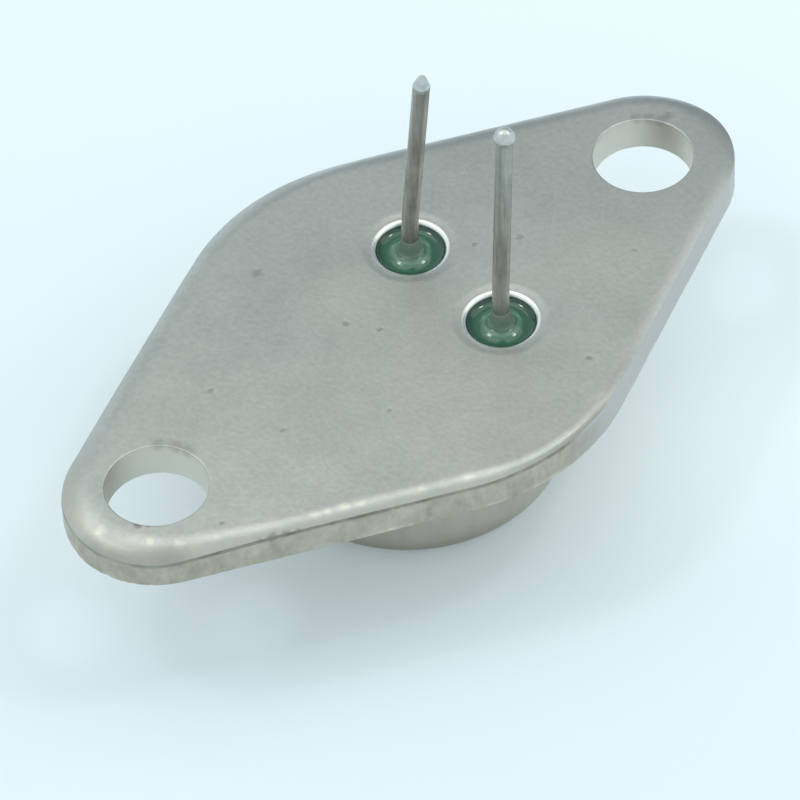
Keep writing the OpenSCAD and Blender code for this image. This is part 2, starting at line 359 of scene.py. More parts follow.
# %% Helpers for the pieces
def sweep(bm, chain, steps, angle=0.0, about=(0, 0, 0), axis=Z, slide=(0, 0, 0)):
    """Sweeps a chain of edges round an axis, or straight along slide, and returns its far end."""
    swept = bmesh.ops.spin(
        bm, geom=chain, cent=about, axis=axis, dvec=Vector(slide) / steps, angle=angle,
        steps=steps, use_merge=False, use_normal_flip=False, use_duplicate=False,
    )
    return swept["geom_last"]


def profile(bm, points):
    """A chain of vertices and edges through some points."""
    verts = [bm.verts.new(p) for p in points]
    return verts + [bm.edges.new(pair) for pair in zip(verts, verts[1:])]


def spin_whole(bm, chain, spot, steps):
    """Spins a chain of edges all the way round an upright axis through a spot."""
    bmesh.ops.spin(
        bm, geom=chain, cent=spot, axis=Z, dvec=(0, 0, 0), angle=2 * pi, steps=steps,
        use_merge=True, use_normal_flip=False, use_duplicate=False,
    )


def circle(bm, radius, steps, height, about=(0, 0, 0)):
    """A level ring of vertices, returned with its edges."""
    place = Matrix.Translation(Vector(about) + Z * height)
    verts = bmesh.ops.create_circle(bm, segments=steps, radius=radius, matrix=place)["verts"]
    return verts + list({edge for vert in verts for edge in vert.link_edges})


def edges_of(geometry):
    """The edges among some bmesh parts."""
    return [part for part in geometry if isinstance(part, bmesh.types.BMEdge)]


def verts_of(geometry):
    """The vertices among some bmesh parts."""
    return [part for part in geometry if isinstance(part, bmesh.types.BMVert)]


helpers = sweep, profile, spin_whole, circle, edges_of, verts_of
print("helpers:", ", ".join(helper.__name__ for helper in helpers))

# %% Finish a piece
# Points closer than this are one point
WELD = 0.002 * MM
# Edges whose faces turn by more than this stay sharp
SHARP = radians(38)


def finish_piece(bm, name, node, slot, *materials):
    """Welds, turns outwards and shades a closed bmesh, and makes it the piece that stands for a CAD node."""
    bmesh.ops.remove_doubles(bm, verts=bm.verts, dist=WELD)
    bmesh.ops.recalc_face_normals(bm, faces=bm.faces)
    open_edges = sum(not edge.is_manifold for edge in bm.edges)
    for face in bm.faces:
        face.smooth = True
    for edge in bm.edges:
        edge.smooth = edge.calc_face_angle(0) < SHARP
    volume = bm.calc_volume() / MM ** 3
    made = as_object(bm, name, *materials)
    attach(made, "root")
    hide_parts(node)
    print(f"{name}: {len(made.data.polygons)} faces, {volume:.1f} mm3, {open_edges} open edges")
    return made


print(f"points within {WELD / MM:.3f} mm of each other are welded")

# %% [markdown]
# The header plate is blanked from steel strip in a press. The punch draws the upper edge down into a
# soft roll, leaves a fine crack under it, and tears the rest of the wall rough. One chain of edges
# with that section is swept round the diamond: a turn about each rounded end and each middle arc,
# and a straight slide between them. The section is first made as it is round the left end, where the
# roll is largest.

# %% Edge section of the plate
END_DROP = 0.4 * MM
END_WIDTH = 1.4 * MM
# How fast the roll steepens towards the crack
ROLL_CURVE = 2.8
ROLL_STEP = 0.03 * MM
CRACK_HIGH = 0.15 * MM
CRACK_DEEP = 0.05 * MM
ROLL_STEPS = 14
WALL_STEPS = 12
# A narrow flat ring beside a rounded edge keeps its shading off the level face
FLAT_RING = 0.04 * MM
# The torn lower edge ends this far in from the wall
BURR_RING = 0.2 * MM
crack_top = plate_t - END_DROP
wall_top = crack_top - CRACK_HIGH


def edge_section():
    """The plate's edge from the inner face up, as pairs of inset and height."""
    ring = [(BURR_RING, 0)]
    wall = [(0, wall_top * i / WALL_STEPS) for i in range(WALL_STEPS + 1)]
    crack = [(ROLL_STEP + CRACK_DEEP, (wall_top + crack_top) / 2)]
    shares = [i / ROLL_STEPS for i in range(ROLL_STEPS + 1)]
    # Drawn-down metal leaves the level face gently and steepens towards the crack
    roll = [(ROLL_STEP + END_WIDTH * s, plate_t - END_DROP * (1 - s) ** ROLL_CURVE) for s in shares]
    return ring + wall + crack + roll + [(roll[-1][0] + FLAT_RING, plate_t)]


print(f"edge section of {len(edge_section())} points")

# %% Walk the section round the diamond
COLUMN = 0.1 * MM
end = X * end_x
# Length of each straight side
side_l = end_x * sin(side_a)


def walk_outline(bm):
    """Sweeps the edge section round both ends and both middle arcs."""
    outwards = Vector((cos(side_a), -sin(side_a), 0))
    foot = end + Z * seat_z + outwards * end_r
    chain = profile(bm, [foot - outwards * inset + Z * height for inset, height in edge_section()])
    end_turn = 2 * side_a
    middle_turn = pi - end_turn
    heading = Vector((sin(side_a), cos(side_a), 0))
    for centre, radius, turn in (
        (end, end_r, end_turn), (X * 0, mid_r, middle_turn),
        (-end, end_r, end_turn), (X * 0, mid_r, middle_turn),
    ):
        chain = sweep(bm, chain, ceil(turn * radius / COLUMN), angle=turn, about=centre)
        heading.rotate(Matrix.Rotation(turn, 3, "Z"))
        chain = sweep(bm, chain, ceil(side_l / COLUMN), slide=heading * side_l)
    bmesh.ops.remove_doubles(bm, verts=bm.verts, dist=WELD)


plate = bmesh.new()
walk_outline(plate)
outline_l = 2 * ((pi - 2 * side_a) * mid_r + 2 * side_a * end_r + 2 * side_l)
print(f"plate edge: {len(plate.verts)} points round {outline_l / MM:.1f} mm")

# %% [markdown]
# To change the swept edge point by point, the script has to know which way is outwards at a place, and
# how far inside the outline the place lies. The outline is four arcs and four tangents, and both
# halves mirror, so one quarter of it answers for all.

# %% Find the outline
def at_edge(place):
    """Direction square to the outline near a place, and how far the place lies inside the outline."""
    corner = Vector((abs(place.x), abs(place.y), 0))
    from_end = corner - end
    if atan2(corner.y, corner.x) > side_a:
        way, reach = corner, mid_r - corner.length
    elif atan2(from_end.y, from_end.x) < side_a:
        way, reach = from_end, end_r - from_end.length
    else:
        way = Vector((cos(side_a), sin(side_a), 0))
        reach = mid_r - corner.dot(way)
    return Vector((copysign(way.x, place.x), copysign(way.y, place.y), 0)).normalized(), reach


def soft_share(value, start, stop):
    """0 up to start, 1 from stop on, and a smooth step between them."""
    share = min(1.0, max(0.0, (value - start) / (stop - start)))
    return share * share * (3 - 2 * share)


print(f"the middle lies {at_edge(X * 0 + Y * 0.1 * MM)[1] / MM:.2f} mm inside the outline")

# %% [markdown]
# Blanking tears steel, so the wall is not smooth. Noise moves each point inwards along the outline's
# own normal: wide swells, upright tears that are taller than they are wide, and a ragged lower edge.
# Everything is moved inwards only, so the plate keeps its true size. The crack gapes along one half of
# the plate and closes up towards the other. Each noise has its own size of lump and its own seed.

# %% Noises for the wall
SWELL = 0.02 * MM
TEAR = 0.025 * MM
RAGGED = 0.02 * MM
WAVY = 0.01 * MM
# Least share of their depth that the tears have at the wall's top, and the crack where it gapes
LEAST_TEAR = 0.4
LEAST_GAPE = 0.4
# The wall is torn by less than those depths, and by more where it tore worst: from here on towards -X
LESS_TORN, MORE_TORN = 0.6, 1.1
TORN_WORST = 12.5 * MM, 15 * MM
# Along X, the crack is fully open up to the first place and closed from the second
CRACK_CLOSES = -0.5 * MM, 1.8 * MM
# Noises: how far their lumps reach across and up, and a seed
SWELL_GRAIN = 1.3 * MM, 2 * MM, 3
TEAR_GRAIN = 0.22 * MM, 0.9 * MM, 17
RAGGED_GRAIN = 0.3 * MM, 0.5 * MM, 31
FOOT_GRAIN = 0.35 * MM, 1 * MM, 47
GAPE_GRAIN = 0.9 * MM, 1 * MM, 59
DRIFT_GRAIN = 1.7 * MM, 1 * MM, 61
WAVY_GRAIN = 0.45 * MM, 0.45 * MM, 73


def grain(place, across, up, seed):
    """Noise from 0 to 1 whose lumps are so far across and so far up."""
    spot = Vector((place.x / across, place.y / across, place.z / up + seed))
    return min(1.0, max(0.0, 0.5 + 0.6 * noise.noise(spot)))


print(f"noise at the middle of the plate: {grain(Z * face_z, *TEAR_GRAIN):.2f}")


# %% Tear the wall
def tear_wall(bm):
    """Moves the wall's points; the open rims above and below stay where they are."""
    for vert in [v for v in bm.verts if not v.is_boundary]:
        place = vert.co.copy()
        height = place.z - seat_z
        torn = LESS_TORN + (MORE_TORN - LESS_TORN) * soft_share(-place.x, *TORN_WORST)
        if height <= wall_top + WELD:
            low = 1 - height / wall_top
            inwards = SWELL * grain(place, *SWELL_GRAIN)
            inwards += TEAR * (LEAST_TEAR + low) * grain(place, *TEAR_GRAIN) ** 2
            inwards += RAGGED * low ** 4 * grain(place, *RAGGED_GRAIN)
            inwards *= torn
            vert.co.z += torn * RAGGED * low ** 6 * grain(place, *FOOT_GRAIN)
        elif height < crack_top - WELD:
            gape = (1 - soft_share(place.x, *CRACK_CLOSES)) * (LEAST_GAPE + grain(place, *GAPE_GRAIN))
            inwards = CRACK_DEEP * (gape - 1)
            vert.co.z += CRACK_HIGH * 0.5 * (grain(place, *DRIFT_GRAIN) - 0.5)
        else:
            over = (max(0.0, face_z - place.z) / END_DROP) ** 0.5
            inwards = WAVY * over * grain(place, *WAVY_GRAIN)
        vert.co -= at_edge(place)[0] * inwards


tear_wall(plate)
deepest = MORE_TORN * (SWELL + (LEAST_TEAR + 1) * TEAR + RAGGED)
print(f"wall torn by up to {deepest / MM:.2f} mm")

# %% [markdown]
# The punch was not quite in line with its die, so it drew the rim down unevenly: far round the left end,
# less along the far side, and least along the near one. Right of the middle it only bevelled the near
# rim, gently and without a steep last part. The swept roll is scaled towards the outline and towards the
# face by shares that vary smoothly, and the wall under it grows to match.

# %% Stretches of the roll
MID_DROP = 0.17 * MM
MID_WIDTH = 0.42 * MM
BEVEL_DROP = 0.085 * MM
BEVEL_WIDTH = 0.75 * MM
# How much each stretch adds to the roll, and where that starts and is full: the first two towards -X, the
# others towards +Y
LEFT_SIDE_SHARE = 0.25
LEFT_SIDE = 0, 4 * MM
LEFT_END = 10 * MM, 15 * MM
FAR_END_SHARE = 0.5
FAR_END = -2 * MM, 3 * MM
FAR_MID_SHARE = 0.35
FAR_MID = 7 * MM, 8.5 * MM
# The bevel starts and is full along X, and starts to end and has ended along Y
BEVEL_STARTS = 1.5 * MM, 4.5 * MM
BEVEL_ENDS = -0.5 * MM, 2.5 * MM
print(f"roll {MID_WIDTH / MM:.2f} to {END_WIDTH / MM:.2f} mm wide")
print(f"roll {BEVEL_DROP / MM:.3f} to {END_DROP / MM:.3f} mm deep")


# %% Size of the roll at each place
def roll_share(place):
    """How large the roll is at a place: 0 as along the near side, 1 as at the left end."""
    left = LEFT_SIDE_SHARE * soft_share(-place.x, *LEFT_SIDE)
    left += (1 - LEFT_SIDE_SHARE) * soft_share(-place.x, *LEFT_END)
    far = FAR_END_SHARE * soft_share(place.y, *FAR_END)
    far += FAR_MID_SHARE * soft_share(place.y, *FAR_MID)
    return 1 - (1 - left) * (1 - far)


def bevel_share(place):
    """How far the roll turns into a gentle bevel: 1 along the near side, right of the middle."""
    right = soft_share(place.x, *BEVEL_STARTS) * (1 - soft_share(place.y, *BEVEL_ENDS))
    return right * (1 - roll_share(place))


def roll_drop(place):
    """Height of the face above the crack at a place."""
    rolled = MID_DROP + (END_DROP - MID_DROP) * roll_share(place)
    return rolled + (BEVEL_DROP - MID_DROP) * bevel_share(place)


def roll_width(place):
    """How far the roll reaches in from the outline at a place."""
    rolled = MID_WIDTH + (END_WIDTH - MID_WIDTH) * roll_share(place)
    return rolled + (BEVEL_WIDTH - MID_WIDTH) * bevel_share(place)


print(f"roll {roll_width(-end * 1.25) / MM:.2f} mm wide round the left end")


# %% Make the roll uneven
def vary_roll(bm):
    """Scales the swept roll to its own size at each place, and stretches the wall to match."""
    for vert in bm.verts:
        drop = roll_drop(vert.co)
        narrower = 1 - roll_width(vert.co) / END_WIDTH
        height = vert.co.z - seat_z
        if height <= wall_top + WELD:
            vert.co.z += (END_DROP - drop) * height / wall_top
        elif height < crack_top - WELD:
            vert.co.z += END_DROP - drop
        else:
            way, inset = at_edge(vert.co)
            vert.co += way * (inset - ROLL_STEP) * narrower
            vert.co.z = face_z - (face_z - vert.co.z) * drop / END_DROP


vary_roll(plate)
outermost = max(plate.verts, key=lambda vert: vert.co.x).co
print(f"plate now reaches x = {outermost.x / MM:.2f} mm")

# %% [markdown]
# The two mounting holes are punched, so their rims break softly. The seal holes are punched from the
# same side: the face dishes gently towards them and rolls over into the hole. Both are full spins
# of a short section. Then the level faces are filled in between all the loops.

# %% Sections of the holes
HOLE_STEPS = 96
HOLE_BREAK = 0.04 * MM
BREAK_STEPS = 4
DISH_WIDTH = 0.42 * MM
DISH_DEPTH = 0.028 * MM
RIM_R = 0.18 * MM
RIM_STEPS = 8
seal_spots = [middle("base_glass_seal"), middle("emitter_glass_seal")]
hole_spots = [end, -end]


def hole_section():
    """The wall of a mounting hole from the inner face up, as pairs of radius and height."""
    turns = [pi / 2 * i / BREAK_STEPS for i in range(BREAK_STEPS + 1)]
    top = [(hole_r + HOLE_BREAK * (1 - cos(a)), face_z - HOLE_BREAK * (1 - sin(a))) for a in turns]
    foot = [(hole_r + HOLE_BREAK / 2, seat_z), (hole_r, seat_z + HOLE_BREAK / 2)]
    return foot + top + [(hole_r + HOLE_BREAK + FLAT_RING, face_z)]


def seal_section():
    """The wall of a seal hole from the inner face up, as pairs of radius and height."""
    turns = [pi / 2 * i / RIM_STEPS for i in range(RIM_STEPS + 1)]
    dish_z = face_z - DISH_DEPTH
    rim = [(seal_r + RIM_R * (1 - cos(a)), dish_z - RIM_R * (1 - sin(a))) for a in turns]
    # The dish rises to the face like half a wave
    waves = [pi * i / RIM_STEPS for i in range(1, RIM_STEPS + 1)]
    dish = [(rim[-1][0] + DISH_WIDTH * a / pi, dish_z + DISH_DEPTH * (1 - cos(a)) / 2) for a in waves]
    return [(seal_r, seat_z)] + rim + dish


print(f"hole section of {len(hole_section())} points, seal section of {len(seal_section())}")


# %% Punch the holes and fill the level faces
def fill_level(bm, height):
    """Fills the level face that lies between all open loops at a height."""
    rims = [e for e in bm.edges if e.is_boundary and all(abs(v.co.z - height) < WELD for v in e.verts)]
    bmesh.ops.triangle_fill(bm, use_beauty=True, use_dissolve=False, edges=rims, normal=Z)


for spots, section in ((hole_spots, hole_section()), (seal_spots, seal_section())):
    for spot in spots:
        wall = profile(plate, [spot + X * radius + Z * height for radius, height in section])
        spin_whole(plate, wall, spot, HOLE_STEPS)
fill_level(plate, face_z)
fill_level(plate, seat_z)
print(f"plate: {len(plate.faces)} faces")

# %% [markdown]
# Small marks lie at their own places on the plate: dark pits from handling, a lump of dirt in the
# crack, nicks and dark spots at the holes' rims, and high spots on the left and near roll that rubbing has
# polished, painted lighter as painted highlights.
# Each mark is the distance from a place, turned into a soft dot, and the strongest dot wins. A fine noise
# added to the distance makes the dots uneven.

# %% Marks on the plate
# Each mark: x and y, how far below the face, and its radius, in millimetres
PITS = (
    (-2.5, 5.5, 0, 0.34), (-7.7, 2.2, 0, 0.2), (-7.0, -1.1, 0, 0.18), (-3.5, -3.1, 0, 0.18),
    (4.4, 1.0, 0, 0.15), (5.9, 0.1, 0, 0.22), (-1.8, 1.3, 0, 0.22), (-1.1, 0.2, 0, 0.15),
    (14.4, 0.9, 0, 0.3), (3.6, -6.2, 0, 0.15), (-11.6, -3.0, 0, 0.14), (8.6, -3.4, 0, 0.14),
)
STAINS = (
    (-11.1, -4.5, 0.2, 0.24), (-10.65, -4.7, 0.2, 0.34), (-10.2, -4.9, 0.22, 0.28),
    (-9.75, -5.1, 0.24, 0.22), (-13.9, -0.98, 0, 0.24), (-13.6, -1.25, 0, 0.2),
)
# Dark spots along the far-right rim of each mounting hole
RIM_DARK_SPOTS = (
    (-10.85, 1.5, 0, 0.4), (-10.45, 1.0, 0, 0.45), (-10.25, 0.5, 0, 0.4),
    (13.4, 1.65, 0, 0.35), (13.75, 1.3, 0, 0.4), (14.0, 0.9, 0, 0.45),
)
# Polished high spots on the roll, painted lighter as painted highlights
RUBBED_HIGHLIGHT_SPOTS = (
    (-15.22, 0.96, 0.1, 0.24), (-15.02, -0.22, 0.1, 0.28), (-14.07, -1.86, 0.08, 0.24),
    (-13.37, -2.65, 0.08, 0.26), (-12.18, -3.39, 0.07, 0.2), (-8.9, -5.05, 0.03, 0.3),
    (-8.49, -5.24, 0.03, 0.24), (-7.88, -5.48, 0.03, 0.32), (-7.34, -5.8, 0.03, 0.3),
    (-5.31, -6.82, 0.03, 0.28), (-3.62, -7.55, 0.03, 0.32),
)
# Patches of the face painted a little brighter as painted light, and one a little darker as painted shade
PAINTED_LIGHT_PATCHES = ((-0.7, -3.4, 0, 5.0), (-0.8, 2.0, 0, 2.6), (7.5, -3.2, 0, 2.8))
PAINTED_SHADE_PATCH = ((-5.7, -1.3, 0, 2.8),)
print(f"{len(PITS)} pits, {len(STAINS)} stains, {len(RUBBED_HIGHLIGHT_SPOTS)} rubbed spots")

# %% Turn marks into masks
# Share of a mark's radius over which it's at full strength
DOT_CORE = 0.2


def per(size):
    """Noise scale whose lumps are so many millimetres across."""
    return 1 / (size * MM)


def dots(tree, place, uneven, marks):
    """A mask that is 1 in the middle of each mark and 0 outside them all."""
    strongest = 0.0
    for x, y, below, radius in marks:
        spot = Vector((x * MM, y * MM, face_z - below * MM))
        away = add(tree, "ShaderNodeVectorMath", {0: place, 1: spot}, operation="DISTANCE")
        rough = add(tree, "ShaderNodeMath", {0: away.outputs["Value"], 1: uneven}, operation="ADD")
        core, rim = radius * DOT_CORE * MM, radius * MM
        dot = add(
            tree, "ShaderNodeMapRange",
            {"Value": rough, "From Min": core, "From Max": rim, "To Min": 1.0, "To Max": 0.0},
            interpolation_type="SMOOTHSTEP",
        )
        strongest = add(tree, "ShaderNodeMath", {0: strongest, 1: dot}, operation="MAXIMUM")
    return strongest


print(f"lumps 1 mm across need a noise scale of {per(1):.0f}")

# %% [markdown]
# Larger changes of finish, and some painted light, follow the part's own directions. Each is a box-shaped
# area with soft sides: for every axis that matters, where it starts and where it's full.

# %% Areas of the plate
# Darker areas: low on the left end's roll, and on the roll in the middle of the near side
LOW_ROLL_DARKENING = (
    ("Z", face_z + 0.01 * MM, face_z - 0.1 * MM), ("X", -12.8 * MM, -14 * MM), ("Y", 0.5 * MM, -0.7 * MM),
)
NEAR_LIP_DARKENING = (
    ("Z", face_z + 0.005 * MM, face_z - 0.03 * MM), ("X", -3 * MM, 1 * MM), ("Y", -6.3 * MM, -7.6 * MM),
)
# A warm tint low on the roll of the left end and the near side: a painted warm reflection
WARM_REFLECTION_TINT = (("Z", face_z - 0.03 * MM, face_z - 0.13 * MM), ("X", 6 * MM, 0), ("Y", 4 * MM, 2 * MM))
# The gentle bevel, painted paler and bluer: a painted reflection
BEVEL_REFLECTION_TINT = (
    ("Z", face_z + 0.003 * MM, face_z - 0.035 * MM), ("X", *BEVEL_STARTS), ("Y", 2 * MM, -0.5 * MM),
)
# Painted glints on the burr along the wall's foot, left of the middle
BURR_GLINTS = (
    ("Z", seat_z + 0.22 * MM, seat_z + 0.08 * MM), ("X", -9.5 * MM, -8 * MM), ("Y", -4 * MM, -5 * MM),
)
# Along X: where the die sheared the wall cleanly, where the crack has closed, and where dirt half fills it
SHEARED = (("X", CRACK_CLOSES[0], CRACK_CLOSES[0] + 4 * MM),)
CLOSED = (("X", *CRACK_CLOSES),)
HALF_FILLED = (("X", -13 * MM, -14.5 * MM),)


def area(tree, place, limits):
    """A mask that is 1 past the limits on every axis and fades to 0 before them."""
    parts = add(tree, "ShaderNodeSeparateXYZ", {0: place})
    mask = 1.0
    for axis, start, full in limits:
        share = add(
            tree, "ShaderNodeMapRange", {"Value": parts.outputs[axis], "From Min": start, "From Max": full},
            interpolation_type="SMOOTHSTEP",
        )
        mask = add(tree, "ShaderNodeMath", {0: mask, 1: share}, operation="MULTIPLY")
    return mask


print(f"the wall is sheared cleanly from x = {SHEARED[0][2] / MM:.1f} mm on")

# %% [markdown]
# Matt nickel is what a barrel-plated header shows: metal, but too rough to mirror anything. Its grey
# wanders in soft blotches from half a millimetre to a few millimetres across. All patterns read Object
# coordinates, in metres, so a noise of scale 1 / size gives lumps of that size.

# %% Matt nickel plate
# Coat colours: a painted highlight, a grey for pits and painted shade, and a dark brown-grey for stains and
# darker spots
PAINTED_HIGHLIGHT = "#F6F4DF"
PIT_AND_SHADE_GREY = "#4E524C"
DARK_BROWN_GREY = "#57524A"


def matt_nickel():
    # Matt nickel: a grey metal with a warm cast and a soft, cloudy sheen.
    # In places it carries painted highlights, reflections, light and shade.
    made, tree, place = new_material("matt nickel plate")
    cloud, grit, wide = (
        add(
            tree, "ShaderNodeTexNoise",
            {"Vector": place, "Scale": per(size), "Detail": detail, "Roughness": rough},
        )
        for size, detail, rough in ((1.5, 4, 0.62), (0.22, 2, 0.6), (6, 2, 0.5))
    )
    fine = add(tree, "ShaderNodeMath", {0: cloud, 1: grit}, operation="ADD")
    whole = add(tree, "ShaderNodeMath", {0: fine, 1: wide}, operation="ADD")
    share = add(tree, "ShaderNodeMapRange", {"Value": whole, "From Min": 1.0, "From Max": 2.0})
    uneven = add(tree, "ShaderNodeMapRange", {"Value": grit, "To Min": -0.1 * MM, "To Max": 0.1 * MM})
    ragged = add(tree, "ShaderNodeMapRange", {"Value": grit, "To Min": -0.3 * MM, "To Max": 0.3 * MM})
    pits = dots(tree, place, uneven, PITS)
    rubbed_highlight = dots(tree, place, ragged, RUBBED_HIGHLIGHT_SPOTS)
    darkened = dots(tree, place, uneven, RIM_DARK_SPOTS)
    for limits in (LOW_ROLL_DARKENING, NEAR_LIP_DARKENING):
        darkened = add(tree, "ShaderNodeMath", {0: darkened, 1: area(tree, place, limits)}, operation="MAXIMUM")
    colour = coats(
        tree, "#B0B2B0", (share, 1, "#C8C9C6"),
        (area(tree, place, BEVEL_REFLECTION_TINT), 0.3, "#C9CACE"),
        (dots(tree, place, uneven, PAINTED_LIGHT_PATCHES), 0.1, PAINTED_HIGHLIGHT), (rubbed_highlight, 0.2, PAINTED_HIGHLIGHT),
        (dots(tree, place, uneven, PAINTED_SHADE_PATCH), 0.08, PIT_AND_SHADE_GREY), (pits, 0.28, PIT_AND_SHADE_GREY),
        (area(tree, place, WARM_REFLECTION_TINT), 0.45, "#BBB8A5"),
        (darkened, 0.25, DARK_BROWN_GREY), (dots(tree, place, uneven, STAINS), 0.55, DARK_BROWN_GREY),
    )
    gloss = add(tree, "ShaderNodeMapRange", {"Value": cloud, "To Min": 0.48, "To Max": 0.36})
    smooth = add(tree, "ShaderNodeMath", {0: rubbed_highlight, 1: -0.1, 2: gloss}, operation="MULTIPLY_ADD")
    relief = add(tree, "ShaderNodeMath", {0: grit, 1: pits}, operation="SUBTRACT")
    bump = add(tree, "ShaderNodeBump", {"Height": relief, "Strength": 0.3, "Distance": 0.02 * MM})
    shader = add(tree, "ShaderNodeBsdfPrincipled", {
        "Base Color": colour, "Metallic": 1.0, "Roughness": smooth, "Normal": bump,
    })
    add(tree, "ShaderNodeOutputMaterial", {"Surface": shader})
    return made


nickel = matt_nickel()
print(f"{nickel.name}: {len(nickel.node_tree.nodes)} nodes")

# %% [markdown]
# The torn wall is bare of polish: the same plating over ragged steel, so it scatters more light, in
# upright streaks and in patches. Where the crack has closed, the die sheared the steel cleanly, so
# the wall turns paler and smoother there.

# %% Torn wall
def torn_steel():
    # Torn steel under thin nickel: rough, streaked up and down, duller than the face
    made, tree, place = new_material("torn steel, nickel flashed")
    upright = add(tree, "ShaderNodeMapping", {"Vector": place, "Scale": (1, 1, 0.5)})
    streak, patch = (
        add(tree, "ShaderNodeTexNoise", {"Vector": vector, "Scale": per(size), "Detail": 3, "Roughness": 0.6})
        for vector, size in ((upright, 0.3), (place, 1.4))
    )
    both = add(tree, "ShaderNodeMath", {0: streak, 1: patch}, operation="ADD")
    share = add(tree, "ShaderNodeMapRange", {"Value": both, "From Min": 0.7, "From Max": 1.3})
    sheared = area(tree, place, SHEARED)
    # Painted glints: bright flecks on the burr
    lumps = add(tree, "ShaderNodeMapRange", {"Value": patch, "From Min": 0.5, "From Max": 0.66})
    flecks = add(tree, "ShaderNodeMath", {0: area(tree, place, BURR_GLINTS), 1: lumps}, operation="MULTIPLY")
    uneven = add(tree, "ShaderNodeMapRange", {"Value": streak, "To Min": -0.1 * MM, "To Max": 0.1 * MM})
    colour = coats(
        tree, "#A69F92", (share, 1, "#C6BFB0"), (sheared, 1, "#C1BCBB"), (flecks, 0.45, "#EAE6D9"),
        (dots(tree, place, uneven, STAINS), 0.5, DARK_BROWN_GREY),
    )
    gloss = add(tree, "ShaderNodeMapRange", {"Value": sheared, "To Min": 0.5, "To Max": 0.38})
    bump = add(tree, "ShaderNodeBump", {"Height": streak, "Strength": 0.4, "Distance": 0.03 * MM})
    shader = add(tree, "ShaderNodeBsdfPrincipled", {
        "Base Color": colour, "Metallic": 0.9, "Roughness": gloss, "Normal": bump,
    })
    add(tree, "ShaderNodeOutputMaterial", {"Surface": shader})
    return made


torn = torn_steel()
print(f"{torn.name}: {len(torn.node_tree.nodes)} nodes")

# %% [markdown]
# The crack under the roll holds old dirt and oxide, and its dark colour is also painted shade in the
# crease; together they draw the thin dark line. It is a matt, mostly non-metallic brown-grey. Where the
# crack closes, the dirt thins out and the plating shows again. Round the left end it is only half filled.

# %% Dirt in the crack
def crack_dirt_and_shade():
    # Dirt, oxide and painted shade in the crack: brown-grey, with no shine
    made, tree, place = new_material("oxide, dirt and painted shade in the crack")
    fill = add(tree, "ShaderNodeTexNoise", {"Vector": place, "Scale": per(0.7), "Detail": 2})
    share = add(tree, "ShaderNodeMapRange", {"Value": fill, "From Min": 0.35, "From Max": 0.7})
    half = add(tree, "ShaderNodeMath", {0: area(tree, place, HALF_FILLED), 1: 0.33}, operation="MULTIPLY")
    clean = add(tree, "ShaderNodeMath", {0: area(tree, place, CLOSED), 1: half}, operation="MAXIMUM")
    colour = coats(tree, "#807E73", (share, 1, "#A7A599"), (clean, 1, "#C6C8C7"))
    metal = add(tree, "ShaderNodeMapRange", {"Value": clean, "To Min": 0.2, "To Max": 0.9})
    shader = add(tree, "ShaderNodeBsdfPrincipled", {
        "Base Color": colour, "Metallic": metal, "Roughness": 0.6,
    })
    add(tree, "ShaderNodeOutputMaterial", {"Surface": shader})
    return made


cracked = crack_dirt_and_shade()
print(f"{cracked.name}: {len(cracked.node_tree.nodes)} nodes")

# %% [markdown]
# The punch rubs the walls of the holes as it passes, and most of all the rolled rims of the seal holes,
# which are the brightest metal on the part. Both are the same nickel, paler than the face: the rims are
# smooth and the bores only half so.

# %% Burnished rims and bores
def burnished_nickel(name, code, smooth, rough):
    # Nickel burnished by a punch: brighter than the face, and smoother the harder it was rubbed
    made, tree, place = new_material(name)
    wear = add(tree, "ShaderNodeTexNoise", {"Vector": place, "Scale": per(0.3), "Detail": 2})
    gloss = add(tree, "ShaderNodeMapRange", {"Value": wear, "To Min": smooth, "To Max": rough})
    uneven = add(tree, "ShaderNodeMapRange", {"Value": wear, "To Min": -0.1 * MM, "To Max": 0.1 * MM})
    colour = coats(tree, code, (dots(tree, place, uneven, RIM_DARK_SPOTS), 0.25, DARK_BROWN_GREY))
    shader = add(tree, "ShaderNodeBsdfPrincipled", {
        "Base Color": colour, "Metallic": 1.0, "Roughness": gloss,
    })
    add(tree, "ShaderNodeOutputMaterial", {"Surface": shader})
    return made


rim_nickel = burnished_nickel("burnished nickel rim", "#F4F6F3", 0.22, 0.36)
bore_nickel = burnished_nickel("burnished nickel bore", "#D7D2C8", 0.36, 0.48)
print(f"{bore_nickel.name}: {len(bore_nickel.node_tree.nodes)} nodes")

# %% [markdown]
# Each face of the plate now takes the finish of its zone. The zones follow from height and from the
# distance to the outline or to a hole, so no face has to be picked by hand.

# %% Finish the plate
FACE, WALL, CRACK, RIM, BORE = 0, 1, 2, 3, 4


def zone(centre):
    """Which of the plate's finishes lies at a place."""
    roll_foot = face_z - roll_drop(centre)
    seal_gap = min(hypot(centre.x - spot.x, centre.y - spot.y) for spot in seal_spots) - seal_r
    hole_gap = min(hypot(centre.x - spot.x, centre.y - spot.y) for spot in hole_spots) - hole_r
    if seal_gap < RIM_R:
        return RIM
    if hole_gap < WELD:
        return BORE
    if centre.z > roll_foot or at_edge(centre)[1] > ROLL_STEP + 2 * CRACK_DEEP:
        return FACE
    return WALL if centre.z < roll_foot - CRACK_HIGH else CRACK


for face in plate.faces:
    face.material_index = zone(face.calc_center_median())
plate_finishes = nickel, torn, cracked, rim_nickel, bore_nickel
finish_piece(plate, "plated_header", "header_plate", "header_plating", *plate_finishes)

# %% [markdown]
# The cap is drawn from thin sheet in one stroke: a flat top, a rounded corner, a plain barrel and a
# flange that is welded to the plate. It is one skin bent round, so its inner and outer sections are
# the same shape a sheet's thickness apart. One closed section, spun all the way round, makes both.

# %% Drawn cap
CAP_STEPS = 180
SHEET = 0.38 * MM
CORNER_R = 1.0 * MM
BEND_R = 0.3 * MM
LIP_R = 0.08 * MM
